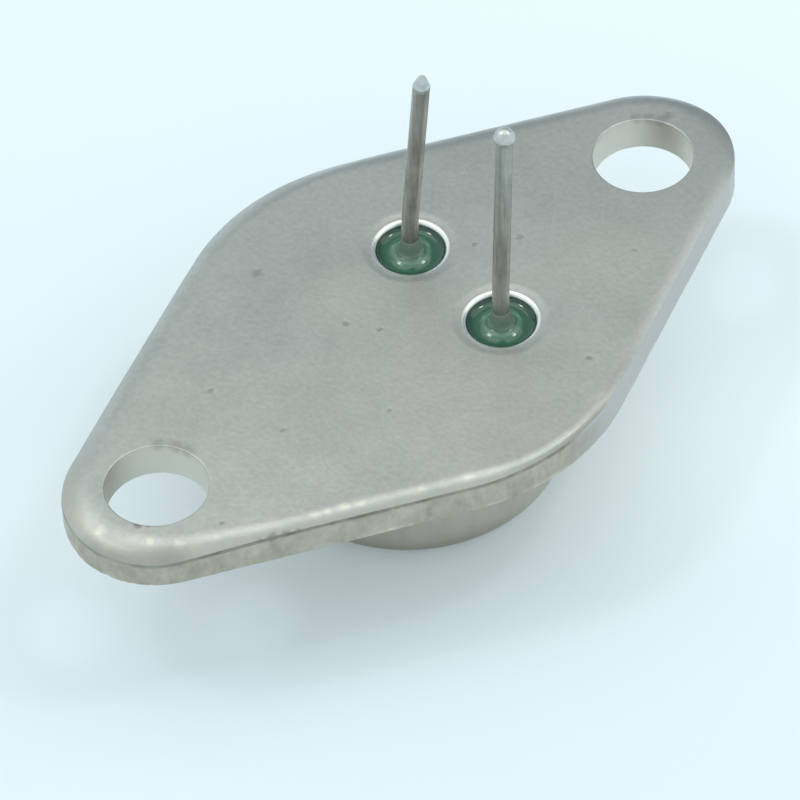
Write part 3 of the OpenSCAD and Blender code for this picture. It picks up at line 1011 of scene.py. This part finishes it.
# Flat ring of the top beside the rounded corner
TOP_RING = 0.2 * MM
ARC_STEPS = 8
BARREL_STEPS = 6


def arc(centre_r, centre_z, radius, start, stop):
    """Points on an arc in the section, as pairs of radius and height; angles in degrees."""
    angles = [radians(start + (stop - start) * i / ARC_STEPS) for i in range(ARC_STEPS + 1)]
    return [(centre_r + radius * cos(a), centre_z + radius * sin(a)) for a in angles]


def cap_section():
    """Outer skin from the middle of the top to the flange's lip, then the inner skin back."""
    bend_z = seat_z - SHEET - BEND_R
    outer = [(0, 0), (barrel_r - CORNER_R - TOP_RING, 0)]
    outer += arc(barrel_r - CORNER_R, CORNER_R, CORNER_R, -90, 0)
    outer += [(barrel_r, CORNER_R + (bend_z - CORNER_R) * i / BARREL_STEPS) for i in range(1, BARREL_STEPS)]
    outer += arc(barrel_r + BEND_R, bend_z, BEND_R, 180, 90)
    outer += arc(flange_r - LIP_R, seat_z - SHEET + LIP_R, LIP_R, -90, 0)
    inner = [(flange_r, seat_z), (barrel_r + BEND_R + SHEET, seat_z)]
    inner += arc(barrel_r + BEND_R, bend_z, BEND_R + SHEET, 90, 180)
    inner += arc(barrel_r - CORNER_R, CORNER_R, CORNER_R - SHEET, 0, -90)
    return outer + inner + [(0, SHEET)]


cap = bmesh.new()
spin_whole(cap, profile(cap, [(radius, 0, height) for radius, height in cap_section()]), X * 0, CAP_STEPS)
print(f"cap: {len(cap.faces)} faces")

# %% [markdown]
# Drawing pulls the sheet over the die's edge, which leaves faint lines up the barrel. A noise squeezed
# along Z makes those lines, and a wider one clouds the plating. A painted contact shadow darkens the
# barrel low down and round the rounded corner, most on the left, and stays off the flat top.

# %% Satin nickel on the cap
# Where the painted contact shadow starts and is full: low down, and on the left
CONTACT_SHADOW_AREA = (("Z", 1.5 * MM, 0.3 * MM), ("X", 1.5 * MM, -3.5 * MM))


def satin_nickel():
    # Satin nickel on drawn sheet: smoother than the header, with faint upright draw lines
    made, tree, place = new_material("satin nickel on drawn steel")
    upright = add(tree, "ShaderNodeMapping", {"Vector": place, "Scale": (1, 1, 0.06)})
    lines, cloud = (
        add(
            tree, "ShaderNodeTexNoise",
            {"Vector": vector, "Scale": per(size), "Detail": 3, "Roughness": rough},
        )
        for vector, size, rough in ((upright, 0.3, 0.5), (place, 2.2, 0.6))
    )
    both = add(tree, "ShaderNodeMath", {0: lines, 1: 0.3, 2: cloud}, operation="MULTIPLY_ADD")
    share = add(tree, "ShaderNodeMapRange", {"Value": both, "From Min": 0.35, "From Max": 0.95})
    level = add(tree, "ShaderNodeVectorMath", {0: place, 1: X + Y}, operation="MULTIPLY")
    out = add(tree, "ShaderNodeVectorMath", {0: level}, operation="LENGTH").outputs["Value"]
    inner, outer = barrel_r - CORNER_R, barrel_r - 0.5 * CORNER_R
    corner = add(
        tree, "ShaderNodeMapRange", {"Value": out, "From Min": inner, "From Max": outer},
        interpolation_type="SMOOTHSTEP",
    )
    # Painted contact shadow: darker low on the barrel and round the corner, most on the left
    contact_shadow = add(tree, "ShaderNodeMath", {0: corner, 1: area(tree, place, CONTACT_SHADOW_AREA)}, operation="MULTIPLY")
    colour = coats(tree, "#BAB3A4", (share, 1, "#CFC9BD"), (contact_shadow, 0.42, "#6B6453"))
    bump = add(tree, "ShaderNodeBump", {"Height": lines, "Strength": 0.08, "Distance": 0.02 * MM})
    shader = add(tree, "ShaderNodeBsdfPrincipled", {
        "Base Color": colour, "Metallic": 1.0, "Roughness": 0.36, "Normal": bump,
    })
    add(tree, "ShaderNodeOutputMaterial", {"Surface": shader})
    return made


finish_piece(cap, "drawn_cap", "cap", "cap_plating", satin_nickel())

# %% [markdown]
# Each lead passes through the plate in a bead of green sealing glass, which insulates it. Molten glass
# wets metal, so its surface climbs the lead in a thin sheath, dips, and climbs again to the rim of the
# hole. The section of that surface, closed underneath, is spun round the lead.

# %% Glass seals
SEAL_STEPS = 72
# Surface of the glass as distance from the lead's axis and height over the glass's edge, in millimetres
GLASS_SURFACE = (
    (0.337, 0.7), (0.355, 0.6), (0.375, 0.48), (0.39, 0.35), (0.402, 0.24), (0.42, 0.15), (0.45, 0.085),
    (0.49, 0.045), (0.54, 0.015), (0.60, 0), (0.65, -0.012), (0.70, -0.035), (0.76, -0.07), (0.84, -0.1),
    (0.93, -0.115), (1.03, -0.115), (1.12, -0.095), (1.19, -0.062), (1.25, -0.022), (1.29, 0.02),
    (1.31, 0.05),
)
# The sheath ends this far over the surface's first point, where it meets the wire
SHEATH_LIP = 0.01 * MM
glass_edge_z = face_z - DISH_DEPTH - RIM_R


def make_seal(name, node, finish):
    """Spins the glass of one seal round its lead."""
    spot = middle(node)
    foot_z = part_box(node)[0].z
    surface = [(radius * MM, glass_edge_z + height * MM) for radius, height in GLASS_SURFACE]
    section = [(lead_r, foot_z), (lead_r, surface[0][1] + SHEATH_LIP)] + surface + [(seal_r, foot_z)]
    bm = bmesh.new()
    chain = profile(bm, [spot + X * radius + Z * height for radius, height in section])
    ends = verts_of(chain)
    chain.append(bm.edges.new((ends[-1], ends[0])))
    spin_whole(bm, chain, spot, SEAL_STEPS)
    return finish_piece(bm, name, node, "seal_glass", finish)


print(f"glass climbs the lead by {GLASS_SURFACE[0][1]} mm and dips by {-min(h for _, h in GLASS_SURFACE)} mm")

# %% [markdown]
# Sealing glass is coloured bottle green by iron and chromium. It is so dark that little light gets
# through, so an opaque green under a wet-looking coat reads the same and bakes well. The colour goes with
# the distance from the lead: the wire's grey shows through the thin sheath, then comes a dark ring at its
# foot, a pale ring that is a painted reflection, deep green, and almost black in the rim's shade.

# %% Green glass
# Distance from the lead's axis, in millimetres, at which each ring starts and is full, and its colour.
# The pale second ring is a painted reflection.
GLASS_RINGS = ((0.42, 0.52, "#3E6453"), (0.54, 0.66, "#587E6D"), (0.68, 0.86, "#33604B"))
SHADE_FROM = 0.95 * MM


def green_glass():
    # Green sealing glass: a deep bottle green with a pale ring, grey round the lead, wet-looking on top.
    # The pale ring is a painted reflection.
    made, tree, place = new_material("green sealing glass")
    parts = add(tree, "ShaderNodeSeparateXYZ", {0: place})
    # Both seals share this finish: folding Y lays one over the other
    folded = add(tree, "ShaderNodeMath", {0: parts.outputs["Y"]}, operation="ABSOLUTE")
    flat = add(tree, "ShaderNodeCombineXYZ", {"X": parts.outputs["X"], "Y": folded})
    axis_at = Vector((seal_spots[0].x, abs(seal_spots[0].y), 0))
    out = add(tree, "ShaderNodeVectorMath", {0: flat, 1: axis_at}, operation="DISTANCE").outputs["Value"]
    swirl = add(tree, "ShaderNodeTexNoise", {"Vector": place, "Scale": per(0.5), "Detail": 2})
    wander = add(tree, "ShaderNodeMapRange", {"Value": swirl, "To Min": -0.12 * MM, "To Max": 0.12 * MM})
    about = add(tree, "ShaderNodeMath", {0: out, 1: wander}, operation="ADD")
    rings = [(about, start * MM, full * MM, code) for start, full, code in GLASS_RINGS]
    rings.append((out, SHADE_FROM, seal_r, "#1B4030"))
    layers = []
    for distance, start, full, code in rings:
        mask = add(
            tree, "ShaderNodeMapRange", {"Value": distance, "From Min": start, "From Max": full},
            interpolation_type="SMOOTHSTEP",
        )
        layers.append((mask, 1, code))
    colour = coats(tree, "#6E7D74", *layers)
    # Fine bubbles break the shine inside the ring of deep green
    shine = add(tree, "ShaderNodeMapRange", {"Value": layers[2][0], "To Min": 0.2, "To Max": 0.07})
    shader = add(tree, "ShaderNodeBsdfPrincipled", {"Base Color": colour, "Roughness": shine, "IOR": 1.6})
    add(tree, "ShaderNodeOutputMaterial", {"Surface": shader})
    return made


glass = green_glass()
make_seal("glass_seal_base", "base_glass_seal", glass)
make_seal("glass_seal_emitter", "emitter_glass_seal", glass)

# %% [markdown]
# The leads are straight lengths of nickel-iron wire with a flattened head inside the cap. Both have been
# bent a little by handling, in a soft knee just above the plate. One lead was nipped off, which leaves a
# blunt point. The other ends in a rounded bead a little wider than the wire.

# %% Shape of the leads
LEAD_SIDES = 32
LEAD_STEP = 0.2 * MM
KNEE_HALF = 0.8 * MM
KNEE_STEPS = 8
HEAD_R = 0.6 * MM
HEAD_T = 0.2 * MM
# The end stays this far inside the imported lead's box
END_CLEAR = 0.02 * MM
# Share of the end, from its tip down, that has the pale finish
PALE_SHARE = 0.95
# A lead's end as share of its length from the start of the end, and size against the wire's radius
PINCHED_END = ((0.04, 0.97), (0.5, 0.71), (0.94, 0.46), (1.0, 0.36))
BEAD_WAIST = 0.28
BEAD_SIZE = 1.22
# The bead's last turn stops just short of a right angle, so a small flat closes it
BEAD_TURNS = [pi / 2 * i / 8 for i in range(8)] + [1.54]
BEAD_END = [(0.1, 1.06), (0.18, 1.16)]
BEAD_END += [(BEAD_WAIST + (1 - BEAD_WAIST) * sin(a), BEAD_SIZE * cos(a)) for a in BEAD_TURNS]
print(f"pinched end of {len(PINCHED_END)} rings, bead of {len(BEAD_END)}")

# %% [markdown]
# A ring of edges is slid up the lead, turned through the knee and slid on along the lean that the
# record's mount gives. From there on each ring is also scaled, which draws the point or the bead.

# %% Build a lead
def grow(bm, ring, share, about):
    """Scales a ring about a place."""
    space = Matrix.Translation(-about)
    bmesh.ops.scale(bm, verts=verts_of(ring), vec=(share, share, share), space=space)


def make_lead(name, node, mount_name, end_shape, end_l, finishes):
    """Sweeps one lead from its head to its end, which is end_l long."""
    mount = mounts[mount_name]
    axis = Vector(mount["axis"]).normalized()
    half = mount["dims"]["length_mm"] * MM / 2
    knee = Vector(mount["pos_m"]) - axis * half
    low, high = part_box(node)
    lean = acos(axis.z)
    aside = Vector((axis.x, axis.y, 0)).normalized()
    foot = Vector((knee.x, knee.y, 0))
    bm = bmesh.new()
    ring = circle(bm, HEAD_R, LEAD_SIDES, low.z, foot)
    bmesh.ops.contextual_create(bm, geom=edges_of(ring))
    ring = sweep(bm, ring, 1, slide=Z * HEAD_T)
    ring = sweep(bm, ring, 1, slide=Z * WELD)
    grow(bm, ring, lead_r / HEAD_R, foot + Z * (low.z + HEAD_T + WELD))
    rise = knee.z - KNEE_HALF - low.z - HEAD_T - WELD
    ring = sweep(bm, ring, ceil(rise / LEAD_STEP), slide=Z * rise)
    bend_r = KNEE_HALF / tan(lean / 2)
    centre = foot + Z * (knee.z - KNEE_HALF) + aside * bend_r
    ring = sweep(bm, ring, KNEE_STEPS, angle=lean, about=centre, axis=Z.cross(aside))
    straight = (high.z - knee.z) / axis.z - KNEE_HALF - end_l - END_CLEAR
    ring = sweep(bm, ring, ceil(straight / LEAD_STEP), slide=axis * straight)
    at = knee + axis * (KNEE_HALF + straight)
    size = 1.0
    for share, wanted in end_shape:
        stop = knee + axis * (KNEE_HALF + straight + share * end_l)
        ring = sweep(bm, ring, 1, slide=stop - at)
        grow(bm, ring, wanted / size, stop)
        at, size = stop, wanted
    bmesh.ops.contextual_create(bm, geom=edges_of(ring))
    for face in bm.faces:
        face.material_index = int(face.calc_center_median().z > high.z - PALE_SHARE * end_l)
    return finish_piece(bm, name, node, "lead_alloy", *finishes)


print(f"wire swept in steps of {LEAD_STEP / MM:.1f} mm")

# %% [markdown]
# The furnace that melts the glass dulls the wire. Its fine drawing lines run lengthwise, so the noise is
# squeezed along Z, and a wider one stains the grey. The ends were cut or melted later, so they are
# paler than the wire, though no mirror.

# %% Wire finishes
def dull_wire():
    # Nickel-iron wire, dulled by the sealing furnace: brownish grey with fine lines along it
    made, tree, place = new_material("dull nickel-iron wire")
    along = add(tree, "ShaderNodeMapping", {"Vector": place, "Scale": (1, 1, 0.08)})
    lines, stain = (
        add(
            tree, "ShaderNodeTexNoise",
            {"Vector": vector, "Scale": per(size), "Detail": 3, "Roughness": rough},
        )
        for vector, size, rough in ((along, 0.12, 0.5), (place, 1.1, 0.6))
    )
    both = add(tree, "ShaderNodeMath", {0: lines, 1: stain}, operation="ADD")
    share = add(tree, "ShaderNodeMapRange", {"Value": both, "From Min": 0.7, "From Max": 1.3})
    colour = coats(tree, "#92908A", (share, 1, "#B5B5AE"))
    bump = add(tree, "ShaderNodeBump", {"Height": both, "Strength": 0.3, "Distance": 0.01 * MM})
    shader = add(tree, "ShaderNodeBsdfPrincipled", {
        "Base Color": colour, "Metallic": 1.0, "Roughness": 0.4, "Normal": bump,
    })
    add(tree, "ShaderNodeOutputMaterial", {"Surface": shader})
    return made


def cut_end():
    # Wire nipped or melted at its end: pale, slightly rough metal
    made, tree, place = new_material("pale cut wire end")
    nicks = add(tree, "ShaderNodeTexNoise", {"Vector": place, "Scale": per(0.2), "Detail": 2})
    gloss = add(tree, "ShaderNodeMapRange", {"Value": nicks, "To Min": 0.36, "To Max": 0.5})
    colour = coats(tree, "#A9B0B2", (nicks, 1, "#E2E5E4"))
    bump = add(tree, "ShaderNodeBump", {"Height": nicks, "Strength": 0.4, "Distance": 0.02 * MM})
    shader = add(tree, "ShaderNodeBsdfPrincipled", {
        "Base Color": colour, "Metallic": 1.0, "Roughness": gloss, "Normal": bump,
    })
    add(tree, "ShaderNodeOutputMaterial", {"Surface": shader})
    return made


wire_finishes = dull_wire(), cut_end()
make_lead("lead_base", "base_lead", "base_lead_end", PINCHED_END, 0.46 * MM, wire_finishes)
make_lead("lead_emitter", "emitter_lead", "emitter_lead_end", BEAD_END, 0.56 * MM, wire_finishes)

# %% [markdown]
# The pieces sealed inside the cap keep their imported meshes, because their shapes are already right.
# A better finish is dropped into each one's own material slot. They are metals and polished
# silicon, so each is one Principled shader whose colour or roughness wanders with a noise.

# %% Finishes inside the cap
def give(material, *nodes):
    """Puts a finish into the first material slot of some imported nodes."""
    for node in nodes:
        frame["nodes"][node].material_slots[0].material = material
    print(f"{material.name}: {', '.join(nodes)}")


def plain_copper():
    # Copper after brazing: warm, slightly clouded by oxide
    made, tree, place = new_material("brazed copper")
    tarnish = add(
        tree, "ShaderNodeTexNoise", {"Vector": place, "Scale": per(0.9), "Detail": 4, "Roughness": 0.6}
    )
    colour = coats(tree, "#B06B4B", (tarnish, 1, "#E3A98C"))
    shader = add(tree, "ShaderNodeBsdfPrincipled", {
        "Base Color": colour, "Metallic": 1.0, "Roughness": 0.38,
    })
    add(tree, "ShaderNodeOutputMaterial", {"Surface": shader})
    return made


give(plain_copper(), "heat_spreader")

# %% [markdown]
# Braze and solder both flow, so they share a builder: a pale metal with soft ripples, which a bump from
# a noise gives. Only the colour and the size of the ripples differ.

# %% Flowed metals
def flowed_metal(name, pale, dark, ripple):
    # Metal that flowed and froze: smooth ripples, paler on their crests
    made, tree, place = new_material(name)
    waves = add(
        tree, "ShaderNodeTexNoise", {"Vector": place, "Scale": per(ripple), "Detail": 2, "Distortion": 0.5}
    )
    colour = coats(tree, dark, (waves, 1, pale))
    bump = add(tree, "ShaderNodeBump", {"Height": waves, "Strength": 0.4, "Distance": 0.02 * MM})
    shader = add(tree, "ShaderNodeBsdfPrincipled", {
        "Base Color": colour, "Metallic": 1.0, "Roughness": 0.28, "Normal": bump,
    })
    add(tree, "ShaderNodeOutputMaterial", {"Surface": shader})
    return made


give(flowed_metal("silver-copper braze", "#EDE4CF", "#B9AC90", 0.6), "spreader_braze")
give(flowed_metal("lead-tin solder", "#D3D6D8", "#93979A", 0.4), "chip_solder")

# %% [markdown]
# The chip is a slab of polished silicon under two interleaved combs of aluminium, one for the base and
# one for the emitter. Bands along Y stand for the combs' fingers.

# %% Silicon and bond wires
FINGER_PITCH = 0.36 * MM
FINGER_SHARE = 0.6


def polished_silicon():
    # Polished silicon with aluminium fingers: dark blue-grey mirror with pale metal bands
    made, tree, place = new_material("silicon with aluminium fingers")
    parts = add(tree, "ShaderNodeSeparateXYZ", {0: place})
    turns = add(tree, "ShaderNodeMath", {0: parts.outputs["X"], 1: FINGER_PITCH}, operation="DIVIDE")
    within = add(tree, "ShaderNodeMath", {0: turns}, operation="FRACT")
    finger = add(tree, "ShaderNodeMath", {0: within, 1: FINGER_SHARE}, operation="LESS_THAN")
    colour = coats(tree, "#3D4352", (finger, 1, "#D5D7DA"))
    gloss = add(tree, "ShaderNodeMapRange", {"Value": finger, "To Min": 0.08, "To Max": 0.3})
    shader = add(tree, "ShaderNodeBsdfPrincipled", {
        "Base Color": colour, "Metallic": 1.0, "Roughness": gloss,
    })
    add(tree, "ShaderNodeOutputMaterial", {"Surface": shader})
    return made


def drawn_aluminium():
    # Drawn aluminium wire: bright, with fine scratches along it
    made, tree, place = new_material("drawn aluminium")
    lines = add(tree, "ShaderNodeTexNoise", {"Vector": place, "Scale": per(0.08), "Detail": 2})
    gloss = add(tree, "ShaderNodeMapRange", {"Value": lines, "To Min": 0.2, "To Max": 0.36})
    shader = add(tree, "ShaderNodeBsdfPrincipled", {
        "Base Color": linear("#DCDEE0"), "Metallic": 1.0, "Roughness": gloss,
    })
    add(tree, "ShaderNodeOutputMaterial", {"Surface": shader})
    return made


give(polished_silicon(), "silicon_chip")
give(drawn_aluminium(), "base_wire", "emitter_wire_inner", "emitter_wire_outer")
